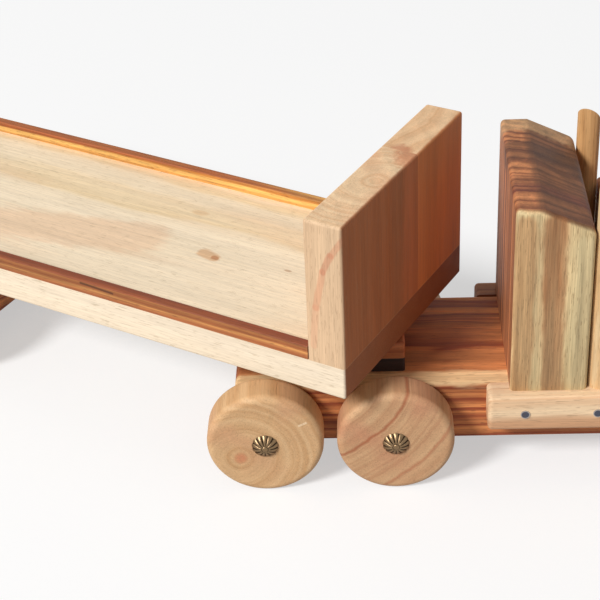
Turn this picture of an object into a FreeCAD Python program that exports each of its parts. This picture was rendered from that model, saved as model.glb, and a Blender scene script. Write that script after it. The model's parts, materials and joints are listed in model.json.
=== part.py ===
import FreeCAD, Part
import math
import os

# Handmade wooden toy lorry: a tractor with sleeper box and a flatbed trailer that swings
# on a dowel kingpin. Millimetres. While the pieces are built, X runs forward, Y to the
# left, Z up, with the kingpin standing on the origin and the ground at Z = 0. At the end
# everything is moved so that the origin is the centre of the footprint.

V = FreeCAD.Vector

cut_margin = 1.0                # how far a cutting solid reaches past the face it opens

# ---- wheels and axles -------------------------------------------------------------
wheel_diameter = 48.0
wheel_width = 15.5
wheel_rounding = 3.0
wheel_side_gap = 1.0            # between a wheel's inner face and the block beside it
axle_diameter = 8.0
axle_running_clearance = 0.08   # radial
axle_end_overhang = 0.2         # dowel end beyond the wheel's outer face
axle_spacing = 53.4             # between the two axles of a pair
rear_axle_x = -28.0
front_axle_x = 196.0

# ---- upholstery nails used as hub caps and headlamps ------------------------------
nail_cap_diameter = 11.0
nail_cap_height = 2.8
nail_shank_diameter = 1.8
nail_shank_length = 12.0

# ---- tractor chassis --------------------------------------------------------------
chassis_width = 66.0
chassis_bottom = 14.0
chassis_top = 41.5
chassis_tail = 12.5             # block behind the rear axle
chassis_front_x = 232.0
chassis_top_rounding = 2.5
chassis_edge_rounding = 0.8

# ---- fifth-wheel block and kingpin ------------------------------------------------
fifth_wheel_length = 60.0
fifth_wheel_width = 47.0
fifth_wheel_base_height = 6.5   # the dark board under the block
fifth_wheel_block_height = 7.5
fifth_wheel_rounding = 1.2
hitch_gap = 0.5                 # between the block and the deck
kingpin_diameter = 12.0
kingpin_running_clearance = 0.08
kingpin_lift = 2.0              # kingpin's lower end above the chassis
kingpin_socket_depth = 10.0

# ---- running boards ---------------------------------------------------------------
running_board_width = 11.0
running_board_bottom = 25.0
running_board_rear_x = 63.0
running_board_front_x = 167.0
running_board_rounding = 2.0
step_pin_diameter = 3.8
step_pin_first_x = 78.0
step_pin_pitch = 29.3
step_pin_count = 3
step_pin_height = 33.4
step_pin_depth = 20.0
step_pin_proud = 0.4

# ---- sleeper box ------------------------------------------------------------------
sleeper_rear_x = 72.0
sleeper_front_x = 103.0
sleeper_slope_x = 83.0
sleeper_width = 78.0
sleeper_top = 125.5
sleeper_front_top = 116.0
sleeper_front_rounding = 4.5
body_rounding = 2.0

# ---- exhaust stacks ---------------------------------------------------------------
stack_diameter = 9.5
stack_x = 108.3
stack_offset = 1.25             # from the chassis side outwards to the stack's centre
stack_top = 127.4               # on the centre line of the slanted end
stack_fall_forward = 0.456      # drop of the slanted end per millimetre forward
stack_fall_outward = 1.16       # and per millimetre outward

# ---- cab --------------------------------------------------------------------------
cab_rear_x = 113.35
cab_front_x = 162.0
cab_width = 78.0
cab_wall = 9.0
cab_wall_top = 87.5
cab_roof_top = 97.0
cab_visor = 4.0
side_window_rear = 9.0          # back board to window
side_window_length = 21.0
side_window_rake = 5.0
side_window_sill = 66.0
side_window_head = 82.0
windscreen_sill = 73.0
windscreen_post = 8.0
windscreen_centre_post = 5.0

# ---- hood, fenders, grille, bumper ------------------------------------------------
hood_width = 60.0
hood_front_x = 228.0
hood_rear_top = 71.0
hood_front_top = 67.0
hood_rounding = 5.0
fender_thickness = 17.0
fender_front_x = 230.0
fender_top = 61.0
fender_arch_radius = 28.0
fender_corner = 6.0
headlamp_height = 48.5
grille_width = 40.0
grille_lift = 2.0               # above the chassis
grille_height = 21.0
grille_slot_count = 6
grille_slot_width = 2.6
grille_slot_depth = 2.5
grille_frame = 3.0
grille_rounding = 1.0
bumper_thickness = 10.0
bumper_width = 97.0
bumper_bottom = 16.0
bumper_top = 38.0

# ---- trailer ----------------------------------------------------------------------
trailer_yaw = -28.5             # degrees, as it is parked
deck_width = 105.0
deck_thickness = 15.5
deck_front_x = 35.0
deck_rear_x = -285.0
deck_rounding = 1.2
seat_depth = 1.0                # rails and headboard are let into the deck
rail_width = 4.4
rail_height = 5.2
rail_rounding = 0.6
headboard_thickness = 16.5
headboard_height = 62.5
headboard_joint_y = 11.0
headboard_rounding = 1.2
bogie_front_x = -172.5
bogie_tail = 12.5

half_chassis = chassis_width / 2
wheel_inner_y = half_chassis + wheel_side_gap
wheel_outer_y = wheel_inner_y + wheel_width
axle_end_y = wheel_outer_y + axle_end_overhang
axle_height = wheel_diameter / 2
tractor_axles = (rear_axle_x, rear_axle_x + axle_spacing, front_axle_x)
trailer_axles = (bogie_front_x - bogie_tail, bogie_front_x - bogie_tail - axle_spacing)
bogie_rear_x = trailer_axles[1] - bogie_tail
fifth_wheel_seam = chassis_top + fifth_wheel_base_height
fifth_wheel_top = fifth_wheel_seam + fifth_wheel_block_height
deck_bottom = fifth_wheel_top + hitch_gap
deck_top = deck_bottom + deck_thickness
running_board_y = half_chassis + running_board_width
rail_inner_y = deck_width / 2 - rail_width
headboard_rear_x = deck_front_x - headboard_thickness
stack_y = half_chassis + stack_offset
grille_bottom = chassis_top + grille_lift
grille_top = grille_bottom + grille_height

tractor = {}
trailer = {}


def block(x_range, y_range, z_range, rounding=0.0, sharp=()):
    """A rectangular block, its edges rounded except those in the planes listed in sharp."""
    corner = V(x_range[0], y_range[0], z_range[0])
    size = (x_range[1] - x_range[0], y_range[1] - y_range[0], z_range[1] - z_range[0])
    return rounded(Part.makeBox(size[0], size[1], size[2], corner), rounding, sharp)


def rounded(solid, radius, sharp=()):
    """Round every edge of a solid except those lying in a plane of sharp, as (axis, value)."""
    if radius == 0.0:
        return solid
    edges = [edge for edge in solid.Edges if not any(lies_in(edge, plane) for plane in sharp)]
    return solid.makeFillet(radius, edges)


def lies_in(edge, plane):
    """True if an edge lies in the plane where the named axis has the given value."""
    axis, value = plane
    box = edge.BoundBox
    low = {"x": box.XMin, "y": box.YMin, "z": box.ZMin}[axis]
    high = {"x": box.XMax, "y": box.YMax, "z": box.ZMax}[axis]
    return abs(low - value) < 1e-4 and abs(high - value) < 1e-4


def side_profile(points, y_range):
    """A prism across the lorry from a closed outline of (x, z) points."""
    outline = [V(x, y_range[0], z) for x, z in points]
    face = Part.Face(Part.makePolygon(outline + outline[:1]))
    return face.extrude(V(0, y_range[1] - y_range[0], 0))


def cross_dowel(diameter, x, z, half_length):
    """A dowel lying across the lorry."""
    start = V(x, -half_length, z)
    return Part.makeCylinder(diameter / 2, 2 * half_length, start, V(0, 1, 0))


def mirrored(shape):
    """The same shape on the other side of the centre line."""
    return shape.mirror(V(0, 0, 0), V(0, 1, 0))


def both_sides(shape):
    return [shape, mirrored(shape)]


def nail(base, direction):
    """An upholstery nail: domed cap outward from base, shank inward."""
    cap_radius = nail_cap_diameter / 2
    sphere_radius = (cap_radius ** 2 + nail_cap_height ** 2) / (2 * nail_cap_height)
    centre = V(0, 0, nail_cap_height - sphere_radius)
    cap = Part.makeSphere(sphere_radius, centre)
    cap = cap.common(Part.makeCylinder(sphere_radius, nail_cap_height * 2))
    shank = Part.makeCylinder(nail_shank_diameter / 2, nail_shank_length, V(0, 0, 0), V(0, 0, -1))
    whole = cap.fuse(shank)
    whole.Placement = FreeCAD.Placement(base, FreeCAD.Rotation(V(0, 0, 1), direction))
    return whole


def nail_hole(base, direction):
    """The hole a nail's shank fills."""
    return Part.makeCylinder(nail_shank_diameter / 2, nail_shank_length, base, direction * -1)


def axle(x):
    """A dowel axle with the nail holes in its two ends."""
    dowel = cross_dowel(axle_diameter, x, axle_height, axle_end_y)
    for side in (-1, 1):
        dowel = dowel.cut(nail_hole(V(x, side * axle_end_y, axle_height), V(0, side, 0)))
    return dowel


def wheel(x, side):
    """A turned wheel with rounded rims and an axle bore; side is -1 right, 1 left."""
    radius = wheel_diameter / 2
    start = V(x, side * wheel_inner_y, axle_height)
    disc = Part.makeCylinder(radius, wheel_width, start, V(0, side, 0))
    rims = [edge for edge in disc.Edges if edge.Curve.TypeId == "Part::GeomCircle"]
    disc = disc.makeFillet(wheel_rounding, rims)
    bore_radius = axle_diameter / 2 + axle_running_clearance
    return disc.cut(Part.makeCylinder(bore_radius, wheel_width, start, V(0, side, 0)))


def running_gear(group, axles, axle_names):
    """Axles, wheels and hub nails of one half of the lorry."""
    hub_nails = []
    for x, name in zip(axles, axle_names):
        group["axle_" + name] = axle(x)
        for side, side_name in ((-1, "right"), (1, "left")):
            group["wheel_" + name + "_" + side_name] = wheel(x, side)
            hub_nails.append(nail(V(x, side * axle_end_y, axle_height), V(0, side, 0)))
    return Part.makeCompound(hub_nails)


def axle_block(x_range, axles, top_rounding=0.0):
    """A block between the wheels with the axle holes through it."""
    top = ("z", chassis_top)
    body = block(x_range, (-half_chassis, half_chassis), (chassis_bottom, chassis_top),
                 chassis_edge_rounding, (top,))
    if top_rounding > 0.0:
        upper = [edge for edge in body.Edges if lies_in(edge, top)]
        body = body.makeFillet(top_rounding, upper)
    for x in axles:
        body = body.cut(cross_dowel(axle_diameter, x, axle_height, half_chassis))
    return body


def chassis():
    """The long block under the tractor, with axle and step-pin holes."""
    body = axle_block((rear_axle_x - chassis_tail, chassis_front_x), tractor_axles,
                      chassis_top_rounding)
    for pin in step_pins():
        body = body.cut(pin).cut(mirrored(pin))
    return body


def step_pins():
    """Steel pins through the right running board into the chassis."""
    pins = []
    for index in range(step_pin_count):
        x = step_pin_first_x + index * step_pin_pitch
        start = V(x, -running_board_y - step_pin_proud, step_pin_height)
        pins.append(Part.makeCylinder(step_pin_diameter / 2, step_pin_depth, start, V(0, 1, 0)))
    return pins


def running_board():
    """The right running board, glued to the chassis and flush with its top."""
    body = block((running_board_rear_x, running_board_front_x),
                 (-running_board_y, -half_chassis),
                 (running_board_bottom, chassis_top), running_board_rounding,
                 (("y", -half_chassis),))
    for pin in step_pins():
        body = body.cut(pin)
    return body


def fifth_wheel_layer(z_range, sharp):
    """One of the two boards the trailer swings on, bored for the kingpin."""
    half_length = fifth_wheel_length / 2
    half_width = fifth_wheel_width / 2
    body = block((-half_length, half_length), (-half_width, half_width), z_range,
                 fifth_wheel_rounding, sharp)
    bore_radius = kingpin_diameter / 2 + kingpin_running_clearance
    return body.cut(Part.makeCylinder(bore_radius, deck_bottom, V(0, 0, chassis_top)))


def sleeper():
    """Solid block behind the cab, its top sloping down to the front."""
    outline = ((sleeper_rear_x, chassis_top), (sleeper_front_x, chassis_top),
               (sleeper_front_x, sleeper_front_top), (sleeper_slope_x, sleeper_top),
               (sleeper_rear_x, sleeper_top))
    body = side_profile(outline, (-sleeper_width / 2, sleeper_width / 2))
    brow = [edge for edge in body.Edges
            if lies_in(edge, ("x", sleeper_front_x)) and lies_in(edge, ("z", sleeper_front_top))]
    body = body.makeFillet(sleeper_front_rounding, brow)
    return rounded(body, body_rounding, (("z", chassis_top),))


def exhaust_stack():
    """The right stack: a dowel standing on chassis and running board, cut on a double slant."""
    radius = stack_diameter / 2
    foot = V(stack_x, -stack_y, chassis_top)
    dowel = Part.makeCylinder(radius, stack_top + stack_diameter - chassis_top, foot)
    size = 4 * stack_diameter
    waste = Part.makeBox(size, size, size, V(-size / 2, -size / 2, 0))
    cut_normal = V(stack_fall_forward, -stack_fall_outward, 1)
    waste.Placement = FreeCAD.Placement(V(stack_x, -stack_y, stack_top),
                                        FreeCAD.Rotation(V(0, 0, 1), cut_normal))
    return dowel.cut(waste)


def cab_side():
    """The right cab side board with its raked window."""
    outer_y = -cab_width / 2
    body = block((cab_rear_x, cab_front_x), (outer_y, outer_y + cab_wall),
                 (chassis_top, cab_wall_top), body_rounding,
                 (("z", chassis_top), ("z", cab_wall_top), ("y", outer_y + cab_wall)))
    rear = cab_rear_x + cab_wall + side_window_rear
    front = rear + side_window_length
    window = side_profile(((rear, side_window_sill), (front, side_window_sill),
                           (front - side_window_rake, side_window_head),
                           (rear, side_window_head)),
                          (outer_y - cab_wall, outer_y + 2 * cab_wall))
    across = [edge for edge in window.Edges if edge.BoundBox.YLength > cab_wall]
    return body.cut(window.makeFillet(body_rounding, across))


def cab_cross_board(x_range):
    """A plain board between the two cab sides."""
    inner_y = cab_width / 2 - cab_wall
    return block(x_range, (-inner_y, inner_y), (chassis_top, cab_wall_top))


def cab_front():
    """The board below the windscreen, with its corner and centre posts."""
    board = cab_cross_board((cab_front_x - cab_wall, cab_front_x))
    inner_y = cab_width / 2 - cab_wall
    low_y = windscreen_centre_post / 2
    high_y = inner_y - (windscreen_post - cab_wall / 2)
    for y_range in ((-high_y, -low_y), (low_y, high_y)):
        board = board.cut(block((cab_front_x - 2 * cab_wall, cab_front_x + cab_wall), y_range,
                                (windscreen_sill, cab_roof_top)))
    return board


def cab_roof():
    """The roof board, reaching a little over the windscreen."""
    return block((cab_rear_x, cab_front_x + cab_visor), (-cab_width / 2, cab_width / 2),
                 (cab_wall_top, cab_roof_top), body_rounding)


def hood():
    """Engine block with a gently falling top."""
    outline = ((cab_front_x, chassis_top), (hood_front_x, chassis_top),
               (hood_front_x, hood_front_top), (cab_front_x, hood_rear_top))
    body = side_profile(outline, (-hood_width / 2, hood_width / 2))
    return rounded(body, hood_rounding, (("z", chassis_top), ("x", cab_front_x)))


def fender():
    """The right front fender: a board with the wheel arch sawn out of it."""
    outer_y = -hood_width / 2 - fender_thickness
    body = Part.makeBox(fender_front_x - cab_front_x, fender_thickness, fender_top - chassis_top,
                        V(cab_front_x, outer_y, chassis_top))
    front_top = [edge for edge in body.Edges
                 if lies_in(edge, ("x", fender_front_x)) and lies_in(edge, ("z", fender_top))]
    body = body.makeFillet(fender_corner, front_top)
    outer = [edge for edge in body.Edges if lies_in(edge, ("y", outer_y))
             and not lies_in(edge, ("z", chassis_top)) and not lies_in(edge, ("x", cab_front_x))]
    body = body.makeFillet(body_rounding, outer)
    body = body.cut(cross_dowel(2 * fender_arch_radius, front_axle_x, axle_height, cab_width))
    return body.cut(nail_hole(headlamp_base(), V(1, 0, 0)))


def headlamp_base():
    """Where the right headlamp nail enters the fender."""
    return V(fender_front_x, -hood_width / 2 - fender_thickness / 2, headlamp_height)


def grille():
    """Thin board with upright saw kerfs."""
    half_width = grille_width / 2
    body = block((hood_front_x, chassis_front_x), (-half_width, half_width),
                 (grille_bottom, grille_top), grille_rounding, (("x", hood_front_x),))
    pitch = grille_width / (grille_slot_count + 1)
    for index in range(grille_slot_count):
        y = -half_width + (index + 1) * pitch
        body = body.cut(block((chassis_front_x - grille_slot_depth, chassis_front_x + cut_margin),
                              (y - grille_slot_width / 2, y + grille_slot_width / 2),
                              (grille_bottom + grille_frame, grille_top - grille_frame)))
    return body


def bumper():
    """Board across the front end of the chassis."""
    return block((chassis_front_x, chassis_front_x + bumper_thickness),
                 (-bumper_width / 2, bumper_width / 2), (bumper_bottom, bumper_top),
                 body_rounding, (("x", chassis_front_x),))


def build_tractor():
    tractor["chassis"] = chassis()
    tractor["fifth_wheel_base"] = fifth_wheel_layer((chassis_top, fifth_wheel_seam),
                                                    (("z", chassis_top), ("z", fifth_wheel_seam)))
    tractor["fifth_wheel_block"] = fifth_wheel_layer((fifth_wheel_seam, fifth_wheel_top),
                                                     (("z", fifth_wheel_seam),))
    tractor["sleeper"] = sleeper()
    tractor["cab_back"] = cab_cross_board((cab_rear_x, cab_rear_x + cab_wall))
    tractor["cab_front"] = cab_front()
    tractor["cab_roof"] = cab_roof()
    tractor["hood"] = hood()
    tractor["grille"] = grille()
    tractor["bumper"] = bumper()
    handed = {"running_board": running_board(), "step_pins": Part.makeCompound(step_pins()),
              "exhaust_stack": exhaust_stack(), "cab_side": cab_side(), "fender": fender()}
    for name, shape in handed.items():
        tractor[name + "_right"] = shape
        tractor[name + "_left"] = mirrored(shape)
    tractor["hub_nails_tractor"] = running_gear(tractor, tractor_axles,
                                                ("rear", "middle", "front"))
    tractor["headlamp_nails"] = Part.makeCompound(both_sides(nail(headlamp_base(), V(1, 0, 0))))


def deck():
    """The flatbed panel with seats for rails and headboard and a socket for the kingpin."""
    half_width = deck_width / 2
    body = block((deck_rear_x, deck_front_x), (-half_width, half_width),
                 (deck_bottom, deck_top), deck_rounding, (("z", deck_top),))
    seat_floor = deck_top - seat_depth
    for side in (-1, 1):
        y_range = sorted((side * rail_inner_y, side * deck_width))
        body = body.cut(block((deck_rear_x - cut_margin, headboard_rear_x), y_range,
                              (seat_floor, deck_top + cut_margin)))
    body = body.cut(block((headboard_rear_x, deck_front_x + cut_margin), (-deck_width, deck_width),
                          (seat_floor, deck_top + cut_margin)))
    socket = Part.makeCylinder(kingpin_diameter / 2, kingpin_socket_depth, V(0, 0, deck_bottom))
    return body.cut(socket)


def rail():
    """The right side rail, from the headboard to the deck's rear end."""
    return block((deck_rear_x, headboard_rear_x), (-deck_width / 2, -rail_inner_y),
                 (deck_top - seat_depth, deck_top + rail_height), rail_rounding,
                 (("z", deck_top - seat_depth), ("x", headboard_rear_x)))


def headboard(y_range):
    """One of the two boards standing at the front of the deck."""
    return block((headboard_rear_x, deck_front_x), y_range,
                 (deck_top - seat_depth, deck_top + headboard_height), headboard_rounding,
                 (("z", deck_top - seat_depth), ("y", headboard_joint_y)))


def kingpin():
    """Dowel glued into the deck, hanging in the fifth-wheel block."""
    bottom = chassis_top + kingpin_lift
    top = deck_bottom + kingpin_socket_depth
    return Part.makeCylinder(kingpin_diameter / 2, top - bottom, V(0, 0, bottom))


def build_trailer():
    trailer["deck"] = deck()
    trailer["rail_right"] = rail()
    trailer["rail_left"] = mirrored(rail())
    trailer["headboard_right"] = headboard((-deck_width / 2, headboard_joint_y))
    trailer["headboard_left"] = headboard((headboard_joint_y, deck_width / 2))
    trailer["kingpin"] = kingpin()
    trailer["bogie_block"] = axle_block((bogie_rear_x, bogie_front_x), trailer_axles)
    trailer["bogie_spacer"] = block((bogie_rear_x, bogie_front_x),
                                    (-half_chassis, half_chassis), (chassis_top, deck_bottom))
    trailer["hub_nails_trailer"] = running_gear(trailer, trailer_axles,
                                                ("trailer_front", "trailer_rear"))
    for shape in trailer.values():
        shape.rotate(V(0, 0, 0), V(0, 0, 1), trailer_yaw)


def export():
    """Centre the footprint on the origin and write one file per node."""
    nodes = {}
    nodes.update(tractor)
    nodes.update(trailer)
    box = Part.makeCompound(list(nodes.values())).optimalBoundingBox()
    shift = V(-(box.XMin + box.XMax) / 2, -(box.YMin + box.YMax) / 2, 0)
    os.makedirs("parts", exist_ok=True)
    for name, shape in nodes.items():
        shape.translate(shift)
        shape.exportStep("parts/" + name + ".step")
    print("kingpin at", round(shift.x, 4), round(shift.y, 4), "nodes", len(nodes))


build_tractor()
build_trailer()
export()
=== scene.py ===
"""Looks of a handmade wooden toy lorry: finishes, hub nails, studio and camera."""

import json
import math

import bpy
from mathutils import Matrix, Vector


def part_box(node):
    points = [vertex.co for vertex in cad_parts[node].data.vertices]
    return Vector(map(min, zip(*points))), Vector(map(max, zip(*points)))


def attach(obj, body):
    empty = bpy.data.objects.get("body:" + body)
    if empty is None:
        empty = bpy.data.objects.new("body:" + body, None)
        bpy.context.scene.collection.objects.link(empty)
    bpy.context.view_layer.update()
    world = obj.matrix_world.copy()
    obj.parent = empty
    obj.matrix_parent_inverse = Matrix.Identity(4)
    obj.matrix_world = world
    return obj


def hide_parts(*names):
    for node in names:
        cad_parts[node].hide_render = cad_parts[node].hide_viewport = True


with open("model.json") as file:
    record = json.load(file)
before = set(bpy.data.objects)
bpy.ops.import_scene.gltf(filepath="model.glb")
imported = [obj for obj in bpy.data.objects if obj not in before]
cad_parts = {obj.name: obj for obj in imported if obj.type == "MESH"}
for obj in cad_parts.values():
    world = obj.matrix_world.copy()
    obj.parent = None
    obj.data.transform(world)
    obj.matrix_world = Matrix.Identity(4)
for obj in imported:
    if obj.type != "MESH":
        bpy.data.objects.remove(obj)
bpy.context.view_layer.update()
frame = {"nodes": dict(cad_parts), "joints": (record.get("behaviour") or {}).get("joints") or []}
NODES = frame["nodes"]
MM = 0.001


# ---------------------------------------------------------------- where things are

def joint_named(name):
    return next(joint for joint in frame["joints"] if joint["name"] == name)


HITCH = joint_named("hitch")["pos_m"]
PIN_ON_GROUND = Vector((HITCH[0], HITCH[1], 0.0))
TRAILER_AXLE = Vector(joint_named("wheel_trailer_rear_right_spin")["axis"])
TRAILER_YAW = math.atan2(-TRAILER_AXLE.x, TRAILER_AXLE.y)
TRACTOR = Matrix.Identity(3)
TRAILER = Matrix.Rotation(TRAILER_YAW, 3, "Z")

# Columns are the board's own axes: along the grain first, then the two across it.
GRAIN = {"x": Matrix(((1, 0, 0), (0, 1, 0), (0, 0, 1))),
         "y": Matrix(((0, 0, 1), (1, 0, 0), (0, 1, 0))),
         "z": Matrix(((0, 1, 0), (0, 0, 1), (1, 0, 0)))}


# ---------------------------------------------------------------- shader graphs

class Graph:
    """A material's node tree, with short calls for the nodes used here."""

    def __init__(self, name):
        self.material = bpy.data.materials.new(name)
        self.material.use_nodes = True
        self.tree = self.material.node_tree
        self.shader = self.tree.nodes["Principled BSDF"]

    def node(self, kind, **settings):
        made = self.tree.nodes.new(kind)
        for key, value in settings.items():
            setattr(made, key, value)
        return made

    def wire(self, source, target):
        """Link a socket, or set a constant, on a target socket."""
        if isinstance(source, bpy.types.NodeSocket):
            self.tree.links.new(source, target)
        else:
            target.default_value = source

    def math(self, operation, a, b=0.0, clamp=False):
        made = self.node("ShaderNodeMath", operation=operation, use_clamp=clamp)
        self.wire(a, made.inputs[0])
        self.wire(b, made.inputs[1])
        return made.outputs[0]

    def vector(self, operation, a, b=(0, 0, 0), output=0):
        made = self.node("ShaderNodeVectorMath", operation=operation)
        self.wire(a, made.inputs[0])
        self.wire(b, made.inputs[1])
        return made.outputs[output]

    def smooth(self, value, low, high, to_low=0.0, to_high=1.0):
        """Smooth step of value from low to high."""
        made = self.node("ShaderNodeMapRange", interpolation_type="SMOOTHSTEP")
        for item, socket in zip((value, low, high, to_low, to_high), made.inputs):
            self.wire(item, socket)
        return made.outputs[0]

    def span(self, value, low, high):
        """A value from 0 to 1 brought to low to high."""
        return self.math("ADD", self.math("MULTIPLY", value, high - low), low)

    def mix(self, factor, a, b, blend="MIX"):
        made = self.node("ShaderNodeMix", data_type="RGBA", blend_type=blend)
        self.wire(factor, made.inputs[0])
        for value, socket in ((a, made.inputs[6]), (b, made.inputs[7])):
            self.wire(rgba(value) if isinstance(value, tuple) else value, socket)
        return made.outputs[2]

    def noise(self, vector, scale, detail=2.0, roughness=0.5):
        """Noise over a vector stretched by a scale for each axis."""
        made = self.node("ShaderNodeTexNoise")
        self.wire(self.vector("MULTIPLY", vector, scale), made.inputs["Vector"])
        self.wire(1.0, made.inputs["Scale"])
        self.wire(detail, made.inputs["Detail"])
        self.wire(roughness, made.inputs["Roughness"])
        return made.outputs["Fac"]

    def bumps(self, height, distance):
        made = self.node("ShaderNodeBump")
        self.wire(distance, made.inputs["Distance"])
        self.wire(height, made.inputs["Height"])
        self.wire(made.outputs[0], self.shader.inputs["Normal"])

    def placed(self, turn, origin):
        """Millimetres in a frame at origin, given from the kingpin, with turn's axes."""
        where = self.node("ShaderNodeMapping", vector_type="TEXTURE")
        self.wire(self.node("ShaderNodeTexCoord").outputs["Object"], where.inputs["Vector"])
        self.wire(PIN_ON_GROUND + turn[0] @ Vector(origin) * MM, where.inputs["Location"])
        self.wire((turn[0] @ turn[1]).to_euler(), where.inputs["Rotation"])
        self.wire((MM, MM, MM), where.inputs["Scale"])
        return where.outputs[0]


def rgba(colour):
    return (*colour, 1.0)


def srgb(red, green, blue):
    """Linear colour of an sRGB colour given in parts of 255."""
    def linear(part):
        part /= 255
        return part / 12.92 if part <= 0.04045 else ((part + 0.055) / 1.055) ** 2.4
    return (linear(red), linear(green), linear(blue))


# ---------------------------------------------------------------- wood

WORN_WOOD = srgb(232, 200, 160)
PLAIN_BOARD = {"side": TRACTOR, "grain": "x", "origin": (0, 0, 0), "pith": (0, -70), "ring": 5.0,
               "warp": 5.0, "line": 0.35, "band": 0.65, "streak": 0.2, "fibre": 0.18,
               "pore": 0.35, "heart": None, "blush": None, "marks": (), "growth": (),
               "layers": ()}


def wood(name, **given):
    """Sawn and lightly oiled wood.

    pith is where the tree's centre runs past the board, across the grain from origin. Within
    heart's radius of it the wood takes heart's colours. blush is a second colour in patches.
    marks are (from, to, radius, colour, strength) stains along a line, and growth is
    (radius, width, colour, strength) rings that stand out. layers are (direction, distance,
    softness, colour, strength) parts beyond a plane; some are painted shade on faces turned
    from the lamp. All lengths are in millimetres.
    """
    look = {**PLAIN_BOARD, **given}
    g = Graph(name)
    spot = g.placed((look["side"], GRAIN[look["grain"]]), look["origin"])

    wander = g.math("SUBTRACT", g.noise(spot, (0.007, 0.03, 0.03), 3.0), 0.5)
    tremble = g.math("SUBTRACT", g.noise(spot, (0.03, 0.22, 0.22), 2.0), 0.5)
    across = g.vector("MULTIPLY", g.vector("SUBTRACT", spot, (0, *look["pith"])), (0, 1, 1))
    radius = g.vector("LENGTH", across, output=1)
    radius = g.math("ADD", radius, g.math("MULTIPLY", wander, 2 * look["warp"]))
    radius = g.math("ADD", radius, g.math("MULTIPLY", tremble, 1.6))

    turns = g.math("DIVIDE", radius, look["ring"])
    years = g.node("ShaderNodeTexNoise", noise_dimensions="1D")
    g.wire(turns, years.inputs["W"])
    g.wire(0.9, years.inputs["Scale"])
    g.wire(3.0, years.inputs["Detail"])
    band = g.smooth(years.outputs["Fac"], 0.34, 0.66)
    part = g.math("FRACT", turns)
    late = g.math("MULTIPLY", g.smooth(part, 0.35, 0.9), g.smooth(part, 0.9, 1.0, 1.0, 0.0))
    late = g.math("MULTIPLY", late, g.span(band, 0.35, 1.0))
    tone = g.math("ADD", g.math("MULTIPLY", late, look["line"]),
                  g.math("MULTIPLY", band, look["band"]), clamp=True)

    colour = g.mix(tone, look["light"], look["dark"])
    if look["heart"]:
        heart_radius, soft, heart_light, heart_dark = look["heart"]
        outside = g.smooth(radius, heart_radius - soft, heart_radius + soft)
        colour = g.mix(outside, g.mix(tone, heart_light, heart_dark), colour)
    if look["blush"]:
        patches = g.smooth(g.noise(spot, (0.008, 0.045, 0.045), 2.0), 0.45, 0.75)
        colour = g.mix(g.math("MULTIPLY", patches, 0.75), colour, look["blush"])
    for ring_radius, width, tint, strength in look["growth"]:
        away = g.math("ABSOLUTE", g.math("SUBTRACT", radius, ring_radius))
        colour = g.mix(g.smooth(away, width, 0.0, 0.0, strength), colour, tint)
    # A layer is either a real tone or painted shade on a face turned from the lamp.
    for direction, distance, soft, tint, strength in look["layers"]:
        depth = g.vector("DOT_PRODUCT", spot, direction, 1)
        depth = g.math("ADD", depth, g.math("MULTIPLY", tremble, soft))
        beyond = g.smooth(depth, distance - soft, distance + soft, 0.0, strength)
        colour = g.mix(beyond, colour, tint)
    for start, end, width, tint, strength in look["marks"]:
        fade = stained(g, spot, Vector(start), Vector(end), width)
        colour = g.mix(g.math("MULTIPLY", fade, strength), colour, tint)

    streak = g.noise(spot, (0.006, 0.16, 0.16), 4.0, 0.6)
    colour = shaded(g, colour, streak, look["streak"])
    fibre = g.noise(spot, (0.05, 1.7, 1.7), 3.0, 0.6)
    colour = shaded(g, colour, fibre, look["fibre"])
    pores = g.smooth(g.noise(spot, (0.2, 2.6, 2.6), 1.0), 0.63, 0.72)
    colour = g.mix(g.math("MULTIPLY", pores, look["pore"]), colour,
                   g.mix(0.5, look["dark"], (0.03, 0.012, 0.004)))

    rounded = g.node("ShaderNodeBevel", samples=4)
    g.wire(0.8 * MM, rounded.inputs["Radius"])
    straight = g.node("ShaderNodeNewGeometry").outputs["Normal"]
    edge = g.smooth(g.vector("DOT_PRODUCT", rounded.outputs[0], straight, 1), 0.99, 0.8)
    handled = g.noise(spot, (0.02, 0.05, 0.05), 3.0)
    worn = g.math("MULTIPLY", edge, g.smooth(handled, 0.35, 0.6, 0.05, 0.2))
    colour = g.mix(worn, colour, WORN_WOOD)
    g.wire(colour, g.shader.inputs["Base Color"])

    rough = g.math("ADD", g.span(fibre, 0.46, 0.66), g.math("MULTIPLY", handled, 0.12))
    g.wire(g.math("SUBTRACT", rough, g.math("MULTIPLY", edge, 0.08)),
           g.shader.inputs["Roughness"])
    g.wire(0.35, g.shader.inputs["Specular IOR Level"])
    height = g.math("SUBTRACT", g.math("ADD", fibre, g.math("MULTIPLY", late, 0.35)), pores)
    g.bumps(height, 0.07 * MM)
    return g.material


def shaded(g, colour, value, amount):
    """A colour made lighter and darker by a noise value."""
    gain = g.smooth(value, 0.25, 0.75, 1 - amount, 1 + amount * 0.6)
    return g.vector("MULTIPLY", colour, gain)


def stained(g, spot, start, end, width):
    """1 on a line from start to end, falling to 0 at width away from it."""
    reach = end - start
    from_start = g.vector("SUBTRACT", spot, start)
    share = 0.5
    if reach.length > 0:
        share = g.math("MULTIPLY", g.vector("DOT_PRODUCT", from_start, reach, 1),
                       1 / reach.length_squared, clamp=True)
    nearest = g.node("ShaderNodeVectorMath", operation="SCALE")
    g.wire(reach, nearest.inputs[0])
    g.wire(share, nearest.inputs["Scale"])
    away = g.vector("SUBTRACT", from_start, nearest.outputs[0])
    away = g.vector("MULTIPLY", away, [0.45, 1, 1] if reach.length == 0 else [1, 1, 1])
    distance = g.vector("LENGTH", away, output=1)
    ragged = g.math("SUBTRACT", g.noise(spot, (0.1, 0.5, 0.5), 3.0), 0.5)
    ragged = g.math("MULTIPLY", ragged, width * 0.9)
    return g.smooth(g.math("ADD", distance, ragged), width * 1.25, width * 0.65)


def cover(node, material):
    """Give a node's surface a material."""
    for slot in NODES[node].material_slots:
        slot.material = material


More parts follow.
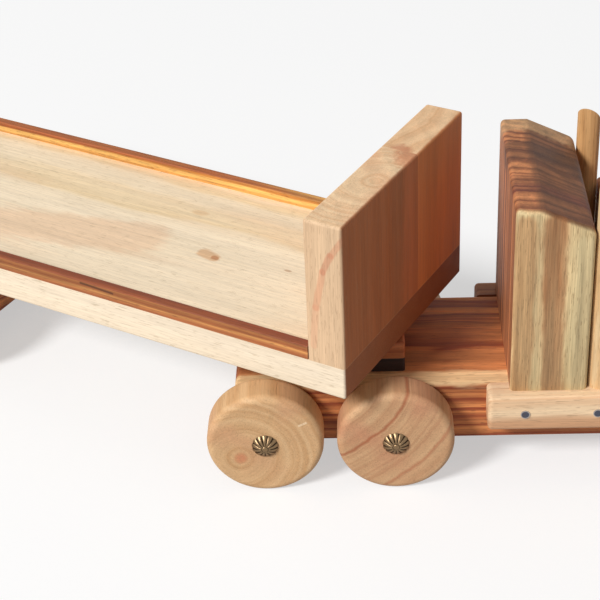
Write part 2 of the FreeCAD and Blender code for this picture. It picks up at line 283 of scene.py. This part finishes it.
CREAM = srgb(253, 233, 202)
STRAW = srgb(240, 208, 155)
TAN = srgb(228, 188, 138)
PINKISH = srgb(226, 180, 140)
RED = srgb(196, 118, 74)
DEEP_RED = srgb(150, 74, 40)
DARK = srgb(74, 40, 24)

cover("deck", wood("deck_wood", side=TRAILER, origin=(0, 0, 63), pith=(-14, -120), ring=7.0,
                   light=CREAM, dark=STRAW, blush=srgb(244, 210, 172), line=0.3, band=0.6,
                   streak=0.09, fibre=0.11, pore=0.35,
                   # the first layer paints the deck's front end dark red-brown as painted shade
                   layers=(((1, 0, 0), 34.2, 0.5, srgb(142, 72, 32), 0.95),
                           ((0, -1, 0), 52.0, 0.4, srgb(241, 222, 196), 0.88)),
                   marks=(((-60, -4.4, 8.5), (-54, -5.6, 8.5), 3.1, srgb(216, 152, 86), 0.55),
                          ((-54.2, -5.6, 8.5), (-52.8, -5.8, 8.5), 1.4, srgb(176, 100, 44), 0.6),
                          ((-80, 24, 8.5), (-80, 24, 8.5), 2.0, srgb(214, 160, 100), 0.35),
                          ((-20, -1, 8.5), (-20, -1, 8.5), 0.8, srgb(170, 110, 60), 0.5),
                          ((-200, -32, 8.5), (-92, -6, 8.5), 13, srgb(240, 200, 162), 0.6))))
cover("rail_right",
      wood("rail_wood_right", side=TRAILER, origin=(0, -51, 73), pith=(-9, 30), ring=3.4,
           warp=2.0, light=srgb(208, 146, 84), dark=srgb(150, 78, 42), line=0.3, band=0.7,
           streak=0.3, fibre=0.25, pore=0.5,
           layers=(((0, 0, 1), 3.1, 0.3, srgb(142, 66, 38), 0.88),
                   ((0, 0, -1), 0.2, 0.5, srgb(160, 86, 50), 0.6)),
           marks=(((-90, -1.5, 2.4), (-74, -1.5, 1.6), 0.55, DARK, 0.7),)))
cover("rail_left",
      wood("rail_wood_left", side=TRAILER, origin=(0, 51, 73), pith=(9, 30), ring=3.4,
           warp=2.4, light=srgb(250, 196, 112), dark=srgb(196, 122, 54), line=0.4, band=0.7,
           streak=0.3, fibre=0.28, pore=0.6,
           layers=(((-0.012, 0, 1), 4.2, 0.5, srgb(170, 86, 48), 0.85),)))
cover("headboard_right",
      wood("headboard_wood_right", side=TRAILER, grain="z", origin=(27, 0, 100),
           pith=(3.0, -15), ring=3.0, warp=3.0, line=0.22, band=0.5, light=srgb(246, 212, 170),
           dark=srgb(226, 178, 132), blush=srgb(226, 168, 126), streak=0.14, fibre=0.12,
           # the first layer paints the front face dark red-brown as painted shade
           pore=0.3, layers=(((0, 1, 0), 7.3, 0.5, srgb(166, 86, 38), 0.85),
                              ((0, 0, -1), 51.8, 0.5, srgb(214, 180, 144), 0.85)),
           marks=(((-22, -5.6, -52.5), (-4, -4.0, -52.5), 1.5, srgb(216, 152, 118), 0.35),
                  ((-4, -4.0, -52.5), (13, -0.4, -52.5), 1.5, srgb(206, 134, 100), 0.45),
                  ((13, -0.4, -52.5), (21, 3.2, -52.5), 1.4, srgb(200, 124, 92), 0.5),
                  ((21, 3.2, -52.5), (29, 8.5, -52.5), 1.3, srgb(206, 134, 100), 0.45),
                  ((-40, 9, 4), (40, 9, 9), 10, srgb(200, 122, 80), 0.7))))
cover("headboard_left",
      wood("headboard_wood_left", side=TRAILER, grain="z", origin=(27, 30, 100), pith=(-60, 10),
           ring=4.0, line=0.2, band=0.4, light=srgb(240, 200, 156),
           dark=srgb(214, 160, 112), streak=0.12,
           # the layer paints the front face dark red-brown as painted shade
           fibre=0.1, pore=0.2, layers=(((0, 1, 0), 7.3, 0.5, srgb(206, 116, 54), 0.85),),
           marks=(((-40, 0, -19), (40, 0, -19), 5, srgb(196, 116, 80), 0.6),)))
for name, length in (("chassis", 100), ("bogie_block", -211)):
    cover(name, wood(name + "_wood", side=TRACTOR if length > 0 else TRAILER,
                     origin=(length, 0, 28), pith=(-20, -74), ring=2.6, warp=4.0,
                     light=srgb(226, 146, 88), dark=srgb(148, 72, 40), line=0.4, band=0.9,
                     streak=0.3, fibre=0.22, pore=0.5,
                     marks=(((-250, -28.6, 14.8), (250, -28.6, 14.8), 4.9,
                             srgb(244, 204, 152), 0.95),)))
# painted shade: the base's near-black colour stands for the deep shade under the trailer's deck
cover("fifth_wheel_base", wood("base_painted_shade_wood", origin=(0, 0, 45), ring=3.0, light=srgb(60, 42, 36),
                               dark=srgb(34, 24, 22), streak=0.3))
cover("fifth_wheel_block", wood("block_wood", origin=(0, 0, 50), ring=4.0, light=RED,
                                dark=DEEP_RED))
cover("bogie_spacer", wood("spacer_wood", side=TRAILER, origin=(-211, 0, 49), light=STRAW,
                           dark=TAN))
cover("sleeper", wood("sleeper_wood", grain="z", origin=(88, 0, 85), pith=(3, 62), ring=3.6,
                      warp=2.6, light=srgb(228, 204, 154), dark=srgb(190, 152, 104),
                      heart=(100.4, 1.5, srgb(218, 144, 94), srgb(118, 64, 42)), line=0.4,
                      band=0.8, streak=0.34, fibre=0.24, pore=0.5,
                      # the layer paints the sloped front of the top dark brown as painted shade
                      layers=(((0.903, 0.429, 0), 33.4, 0.7, srgb(80, 50, 33), 0.65),),
                      marks=(((41, -16, 10), (30, 16, 10), 9.0, srgb(66, 42, 32), 0.6),
                             ((41, -16, -20), (30, 16, -20), 4.0, srgb(104, 50, 44), 0.5),
                             ((41, -16, 34), (30, 16, 34), 7.0, srgb(222, 178, 130), 0.6),
                             ((-60, 1, -39), (34, -1, -39), 4.6, srgb(150, 94, 54), 0.65),
                             ((-60, 12, -39), (24, 12, -39), 5.0, srgb(226, 204, 156), 0.7),
                             ((-60, -12, -39), (34, -12, -39), 4.5, srgb(190, 136, 88), 0.6))))
for hand, side, light, dark, low, stack_light, stack_dark in (
        ("right", -1, srgb(250, 218, 178), srgb(232, 188, 146), srgb(200, 146, 106),
         srgb(240, 212, 166), srgb(214, 172, 122)),
        # painted shadow: the left board's colours are darkened for the shadow it lies in
        ("left", 1, srgb(178, 118, 78), srgb(126, 70, 42), srgb(120, 66, 40),
         srgb(224, 176, 120), srgb(188, 136, 84))):
    cover("running_board_" + hand,
          wood("running_board_wood_" + hand, origin=(115, 38 * side, 33), pith=(-40 * side, 30),
               ring=3.4, light=light, dark=dark, streak=0.1, fibre=0.12, pore=0.45,
               # the layer darkens the lower rounded part: partly a redder tone, partly painted
               # shade where the board turns from the lamp
               layers=(((0, 0, -1), 1.5, 3.0, low, 0.75),)))
    cover("exhaust_stack_" + hand,
          wood("stack_wood_" + hand, grain="z", origin=(108, 34 * side, 85), pith=(9, 14),
               ring=2.0, warp=2.5, light=stack_light, dark=stack_dark, streak=0.16, fibre=0.14,
               pore=0.4))
    cover("cab_side_" + hand,
          wood("cab_side_wood_" + hand, origin=(137, 35 * side, 64), pith=(-50 * side, 8),
               ring=4.4, light=srgb(236, 200, 150), dark=srgb(206, 156, 104),
               blush=PINKISH, streak=0.12, fibre=0.12))
    cover("fender_" + hand,
          wood("fender_wood_" + hand, origin=(196, 38 * side, 50), pith=(10 * side, -60),
               ring=4.0, light=srgb(242, 206, 162), dark=srgb(218, 170, 124), streak=0.1,
               fibre=0.12))
for name, x in (("cab_back", 118), ("cab_front", 157)):
    cover(name, wood(name + "_wood", grain="z", origin=(x, 0, 64), pith=(60, 8), ring=4.4,
                     light=srgb(230, 190, 138), dark=srgb(198, 148, 98)))
cover("cab_roof", wood("roof_wood", origin=(140, 0, 92), pith=(-30, -26), ring=4.4,
                       light=srgb(216, 148, 102), dark=srgb(162, 94, 60), streak=0.2, fibre=0.16))
cover("hood", wood("hood_wood", origin=(195, 0, 56), pith=(-14, -40), ring=5.2, warp=4.0,
                   light=srgb(238, 204, 150), dark=srgb(206, 160, 104), streak=0.14,
                   heart=(44, 2.0, srgb(190, 128, 86), srgb(132, 76, 48))))
cover("grille", wood("grille_wood", grain="y", origin=(230, 0, 54), ring=2.6, light=CREAM,
                     dark=TAN))
cover("bumper", wood("bumper_wood", grain="y", origin=(237, 0, 27), pith=(40, -30), ring=4.0,
                     light=srgb(190, 120, 78), dark=srgb(128, 64, 36), streak=0.2))
for node in ("kingpin", "axle_rear", "axle_middle", "axle_front", "axle_trailer_front",
             "axle_trailer_rear"):
    cover(node, wood(node + "_wood", side=TRAILER if "trailer" in node else TRACTOR,
                     grain="z" if node == "kingpin" else "y", pith=(22, 3), ring=2.0,
                     light=srgb(238, 200, 146), dark=srgb(204, 152, 98)))

# Where each wheel's blank lay in the tree, from the hub: upwards and forwards.
WHEEL_PITHS = {"rear_right": (-6.2, -10.2), "middle_right": (45, -48),
               "front_right": (-30, 24), "rear_left": (34, 30), "middle_left": (-12, -34),
               "front_left": (8, 14), "trailer_front_right": (-40, -20),
               "trailer_rear_right": (16, -12), "trailer_front_left": (30, -44),
               "trailer_rear_left": (-52, 20)}
WHEEL_GROWTH = {"middle_right": ((57, 1.5, srgb(160, 84, 50), 0.75),
                                 (79.5, 1.0, srgb(176, 104, 70), 0.5)),
                "rear_right": ((1.0, 3.2, srgb(206, 130, 94), 0.75),)}
WHEEL_MARKS = {"rear_right": (((-7.75, 9.8, 14.2), (-7.75, 11.2, 17.0), 0.5,
                               srgb(250, 226, 190), 0.6),)}


def add_wheel_wood():
    for place, pith in WHEEL_PITHS.items():
        hub = joint_named("wheel_" + place + "_spin")
        side = TRAILER if "trailer" in place else TRACTOR
        origin = side.inverted() @ (Vector(hub["pos_m"]) - PIN_ON_GROUND) / MM
        pink = place == "middle_right"
        cover("wheel_" + place,
              wood("wheel_wood_" + place, side=side, grain="y", origin=origin, pith=pith,
                   ring=3.1, warp=1.6, line=0.25, band=0.55, streak=0.06, fibre=0.1, pore=0.3,
                   light=srgb(210, 168, 126) if pink else srgb(220, 180, 134),
                   dark=srgb(186, 136, 98) if pink else srgb(196, 148, 100),
                   blush=srgb(196, 138, 104) if pink else srgb(206, 156, 116),
                   growth=WHEEL_GROWTH.get(place, ()), marks=WHEEL_MARKS.get(place, ())))


add_wheel_wood()


# ---------------------------------------------------------------- metal

STEP_PIN_FIRST_X = 78.0
STEP_PIN_PITCH = 29.3
STEP_PIN_HEIGHT = 33.4
STEP_PIN_RADIUS = 1.9


def steel():
    """Cut steel pin ends: dark, with a light ring round the rim."""
    g = Graph("steel_pin")
    spot = g.placed((TRACTOR, GRAIN["x"]), (STEP_PIN_FIRST_X, 0, STEP_PIN_HEIGHT))
    parts = g.node("ShaderNodeSeparateXYZ")
    g.wire(spot, parts.inputs[0])
    along = g.math("ADD", parts.outputs[0], STEP_PIN_PITCH / 2)
    along = g.math("SUBTRACT", g.math("MODULO", along, STEP_PIN_PITCH), STEP_PIN_PITCH / 2)
    off = g.node("ShaderNodeCombineXYZ")
    g.wire(along, off.inputs[0])
    g.wire(parts.outputs[2], off.inputs[2])
    radius = g.vector("LENGTH", off.outputs[0], output=1)
    rim = g.smooth(radius, STEP_PIN_RADIUS * 0.72, STEP_PIN_RADIUS * 0.92)
    scratch = g.noise(spot, (9.0, 9.0, 1.2), 4.0, 0.65)
    tint = g.noise(spot, (0.9, 0.9, 0.9), 3.0)
    colour = g.mix(scratch, srgb(50, 53, 66), srgb(96, 98, 112))
    colour = g.mix(g.smooth(tint, 0.5, 0.75, 0.0, 0.5), colour, srgb(96, 74, 62))
    colour = g.mix(g.math("MULTIPLY", rim, 0.8), colour, srgb(190, 182, 176))
    g.wire(colour, g.shader.inputs["Base Color"])
    g.wire(0.75, g.shader.inputs["Metallic"])
    g.wire(g.span(scratch, 0.3, 0.55), g.shader.inputs["Roughness"])
    g.bumps(scratch, 0.04 * MM)
    return g.material


def brass():
    """Antique brass, dark in the flutes and rubbed bright on their crests."""
    g = Graph("brass_nail")
    spot = g.placed((TRACTOR, GRAIN["x"]), (0, 0, 0))
    relief = g.node("ShaderNodeAttribute", attribute_name="relief").outputs["Fac"]
    tarnish = g.noise(spot, (0.7, 0.7, 0.7), 4.0, 0.6)
    grain = g.noise(spot, (5.0, 5.0, 5.0), 3.0, 0.6)
    rubbed = g.smooth(g.math("ADD", relief, g.math("MULTIPLY", tarnish, 0.5)), 0.45, 1.1)
    colour = g.mix(rubbed, srgb(38, 28, 20), srgb(134, 110, 82))
    colour = g.mix(g.smooth(tarnish, 0.5, 0.7, 0.0, 0.4), colour, srgb(84, 70, 48))
    colour = shaded(g, colour, grain, 0.15)
    g.wire(colour, g.shader.inputs["Base Color"])
    g.wire(1.0, g.shader.inputs["Metallic"])
    g.wire(g.math("SUBTRACT", g.span(grain, 0.38, 0.56), g.math("MULTIPLY", rubbed, 0.14)),
           g.shader.inputs["Roughness"])
    g.bumps(grain, 0.03 * MM)
    return g.material


STEEL = steel()
BRASS = brass()
for hand in ("right", "left"):
    cover("step_pins_" + hand, STEEL)


# ---------------------------------------------------------------- upholstery nails

CAP_RADIUS = 5.5
CAP_HEIGHT = 2.8
SHANK_RADIUS = 0.9
SHANK_LENGTH = 12.0
FLUTES = 13
STEPS_PER_FLUTE = 8
FLUTE_DEPTH = 0.42
SCALLOP = 0.32
BOSS_RADIUS = 1.25
CAP_RINGS = (0.3, 0.6, 0.9, 1.12, 1.3, 1.45, 1.65, 2.0, 2.5, 3.1, 3.7, 4.3, 4.8, 5.15, 5.38, 5.5)
NAIL_BASE_OFFSET = 7.95         # from the middle of a wheel outwards to the nail's base


def eased(value, low, high):
    share = min(max((value - low) / (high - low), 0.0), 1.0)
    return share * share * (3 - 2 * share)


def cap_point(radius, angle):
    """A point of the fluted cap and how far it stands out of the flutes."""
    crest = abs(math.cos(FLUTES * angle / 2)) ** 0.8
    in_petals = eased(radius, BOSS_RADIUS * 1.1, BOSS_RADIUS * 1.9)
    sphere = (CAP_RADIUS ** 2 + CAP_HEIGHT ** 2) / (2 * CAP_HEIGHT)
    height = math.sqrt(sphere ** 2 - radius ** 2) - sphere + CAP_HEIGHT
    ring_groove = 0.4 * (1 - min(abs(radius - BOSS_RADIUS * 1.1) / 0.35, 1.0))
    fall = 1 - eased(radius, CAP_RADIUS * 0.86, CAP_RADIUS)
    height -= ring_groove + FLUTE_DEPTH * in_petals * (1 - crest) * fall
    reach = radius - SCALLOP * (1 - crest) * (radius / CAP_RADIUS) ** 4
    relief = 1 - in_petals * (1 - crest) - 1.6 * ring_groove
    return (reach * math.cos(angle), reach * math.sin(angle), max(height, 0.0)), relief


def nail_rings():
    """Rings of (point, relief) from the cap's middle round to the shank's point."""
    count = FLUTES * STEPS_PER_FLUTE
    angles = [2 * math.pi * step / count for step in range(count)]
    rings = [[cap_point(radius, angle) for angle in angles] for radius in CAP_RINGS]
    for height in (0.0, -SHANK_LENGTH):
        rings.append([((SHANK_RADIUS * math.cos(angle), SHANK_RADIUS * math.sin(angle), height),
                       0.0) for angle in angles])
    return rings


def add_nails(node, body, places):
    """One piece with a fluted nail at each (base, outward direction), for a CAD node."""
    points, faces, reliefs = [], [], []
    rings = nail_rings()
    count = len(rings[0])
    for base, outward in places:
        turn = outward.to_track_quat("Z", "X").to_matrix()
        first = len(points)
        shape = [((0, 0, CAP_HEIGHT), 1.0)] + [item for ring in rings for item in ring]
        shape.append(((0, 0, -SHANK_LENGTH), 0.0))
        for point, relief in shape:
            points.append(base + turn @ Vector(point) * MM)
            reliefs.append(relief)
        last = len(points) - 1
        for step in range(count):
            after = (step + 1) % count
            faces.append((first, first + 1 + step, first + 1 + after))
            for ring in range(len(rings) - 1):
                inner = first + 1 + ring * count
                outer = inner + count
                faces.append((inner + step, outer + step, outer + after, inner + after))
            faces.append((last, last - count + after, last - count + step))
    mesh = bpy.data.meshes.new(node + "_fluted")
    mesh.from_pydata(points, [], faces)
    mesh.attributes.new("relief", "FLOAT", "POINT").data.foreach_set("value", reliefs)
    mesh.shade_smooth()
    mesh.set_sharp_from_angle(angle=math.radians(50))
    mesh.materials.append(BRASS)
    nails = bpy.data.objects.new(node + "_fluted", mesh)
    bpy.context.scene.collection.objects.link(nails)
    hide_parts(node)
    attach(nails, body)


def hub_places(on_trailer):
    """Bases and directions of the nails of the tractor's or the trailer's wheels."""
    places = []
    for joint in frame["joints"]:
        if joint["name"] == "hitch" or ("trailer" in joint["name"]) != on_trailer:
            continue
        outward = Vector(joint["axis"]) * (-1 if "right" in joint["name"] else 1)
        places.append((Vector(joint["pos_m"]) + outward * NAIL_BASE_OFFSET * MM, outward))
    return places


def headlamp_places():
    low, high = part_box("headlamp_nails")
    height = (low.z + high.z) / 2
    base_x = high.x - CAP_HEIGHT * MM
    return [(Vector((base_x, y, height)), Vector((1, 0, 0)))
            for y in (low.y + CAP_RADIUS * MM, high.y - CAP_RADIUS * MM)]


add_nails("hub_nails_tractor", "tractor", hub_places(False))
add_nails("hub_nails_trailer", "trailer", hub_places(True))
add_nails("headlamp_nails", "tractor", headlamp_places())


# ---------------------------------------------------------------- studio

CAMERA_TURN = math.radians(2.61)
CAMERA_RISE = math.radians(33.16)
CAMERA_ROLL = math.radians(-2.66)
CAMERA_REACH = 0.64625
LENS_MM = 36 * 1678.8 / 600
FILL = 0.27                     # strength of the even light from all round
SHADOW_FADE = 0.5               # how far the floor's shadows are lifted towards white
LOOK_AT = PIN_ON_GROUND + Vector((-0.01099, -0.0495, 0.09475))


def add_camera():
    data = bpy.data.cameras.new("camera")
    data.lens = LENS_MM
    data.clip_start = 0.01
    camera = bpy.data.objects.new("camera", data)
    bpy.context.scene.collection.objects.link(camera)
    back = Vector((math.sin(CAMERA_TURN) * math.cos(CAMERA_RISE),
                   -math.cos(CAMERA_TURN) * math.cos(CAMERA_RISE), math.sin(CAMERA_RISE)))
    right = Vector((math.cos(CAMERA_TURN), math.sin(CAMERA_TURN), 0))
    up = right.cross(-back)
    turned_right = math.cos(CAMERA_ROLL) * right + math.sin(CAMERA_ROLL) * up
    turned_up = -math.sin(CAMERA_ROLL) * right + math.cos(CAMERA_ROLL) * up
    rotation = Matrix((turned_right, turned_up, back)).transposed()
    camera.matrix_world = Matrix.Translation(LOOK_AT + back * CAMERA_REACH) @ rotation.to_4x4()
    bpy.context.scene.camera = camera


def add_floor():
    """A wide pale floor, seen white where no shadow falls."""
    mesh = bpy.data.meshes.new("floor")
    size = 6.0
    mesh.from_pydata([(-size, -size, 0), (size, -size, 0), (size, size, 0), (-size, size, 0)],
                     [], [(0, 1, 2, 3)])
    floor = bpy.data.objects.new("floor", mesh)
    bpy.context.scene.collection.objects.link(floor)
    g = Graph("floor")
    g.wire(rgba((0.5, 0.5, 0.5)), g.shader.inputs["Base Color"])
    g.wire(0.9, g.shader.inputs["Roughness"])
    g.wire(0.0, g.shader.inputs["Specular IOR Level"])
    pale = g.node("ShaderNodeBsdfDiffuse").outputs[0]
    g.wire(rgba((1, 1, 1)), pale.node.inputs["Color"])
    white = g.node("ShaderNodeEmission").outputs[0]
    paper = blended(g, SHADOW_FADE, pale, white)
    g.wire(blended(g, seen_rays(g), g.shader.outputs[0], paper),
           g.tree.nodes["Material Output"].inputs["Surface"])
    mesh.materials.append(g.material)


def blended(g, factor, first, second):
    made = g.node("ShaderNodeMixShader")
    for value, socket in zip((factor, first, second), made.inputs):
        g.wire(value, socket)
    return made.outputs[0]


def seen_rays(g):
    """1 for what the camera sees, straight or in a reflection, and 0 for light on the toy."""
    rays = g.node("ShaderNodeLightPath").outputs
    straight_or_mirrored = g.math("MAXIMUM", rays["Is Camera Ray"], rays["Is Glossy Ray"])
    return g.math("MAXIMUM", straight_or_mirrored, rays["Is Transmission Ray"])


def add_lights():
    world = bpy.data.worlds.new("studio")
    bpy.context.scene.world = world
    world.use_nodes = True
    sky = world.node_tree.nodes["Background"]
    nodes, links = world.node_tree.nodes, world.node_tree.links
    rays = nodes.new("ShaderNodeLightPath").outputs
    mirrored, seen = nodes.new("ShaderNodeMath"), nodes.new("ShaderNodeMath")
    for step in (mirrored, seen):
        step.operation = "MAXIMUM"
    links.new(rays["Is Camera Ray"], mirrored.inputs[0])
    links.new(rays["Is Glossy Ray"], mirrored.inputs[1])
    links.new(mirrored.outputs[0], seen.inputs[0])
    links.new(rays["Is Transmission Ray"], seen.inputs[1])
    strength = nodes.new("ShaderNodeMapRange")
    strength.inputs["To Min"].default_value = FILL
    strength.inputs["To Max"].default_value = 1.0
    links.new(seen.outputs[0], strength.inputs["Value"])
    links.new(strength.outputs[0], sky.inputs["Strength"])
    sky.inputs["Color"].default_value = (1, 1, 1, 1)
    data = bpy.data.lights.new("key", "AREA")
    data.shape = "DISK"
    data.size = 2.2
    data.energy = 640
    key = bpy.data.objects.new("key", data)
    place = Vector((-4.3, -4.5, 5.0))
    key.location = place
    key.rotation_euler = (place - Vector((0, 0, 0.05))).to_track_quat("Z", "Y").to_euler()
    bpy.context.scene.collection.objects.link(key)


add_camera()
add_floor()
add_lights()
bpy.context.scene.view_settings.view_transform = "Standard"
